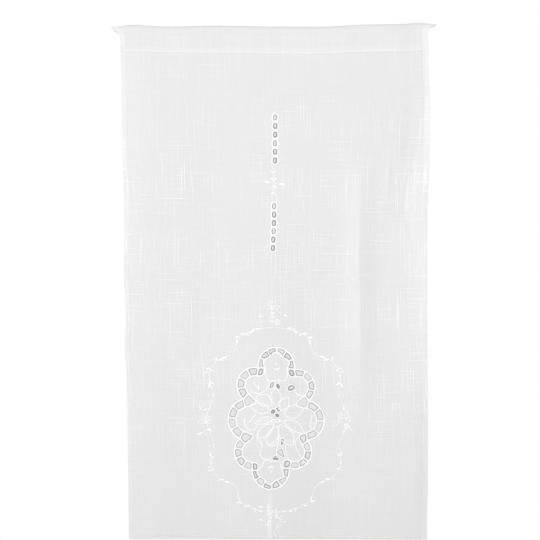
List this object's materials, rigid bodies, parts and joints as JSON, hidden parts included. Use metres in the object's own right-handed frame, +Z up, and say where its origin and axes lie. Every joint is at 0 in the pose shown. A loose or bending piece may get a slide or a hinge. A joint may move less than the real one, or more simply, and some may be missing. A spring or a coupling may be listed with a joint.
{
  "type": "semi-sheer rod-pocket curtain panel",
  "caption": "Flat white semi-sheer slub voile curtain panel with a rod-pocket heading, turned side hems, a cutwork medallion and ladders of small cut windows.",
  "frame": {"origin": "middle of the heading's top edge: half way across the width and half way between the pocket's two layers", "axes": "+Z up, +X across the width to the right as seen from the front, front face towards -Y"},
  "size_m": [0.633, 0.0165, 1.006],
  "materials": {
    "voile": "matt white slub voile, one layer",
    "heading": "matt white slub voile, two layers"
  },
  "bodies": {
    "root": {"panel": "voile", "rod_pocket": "heading"}
  },
  "joints": []
}
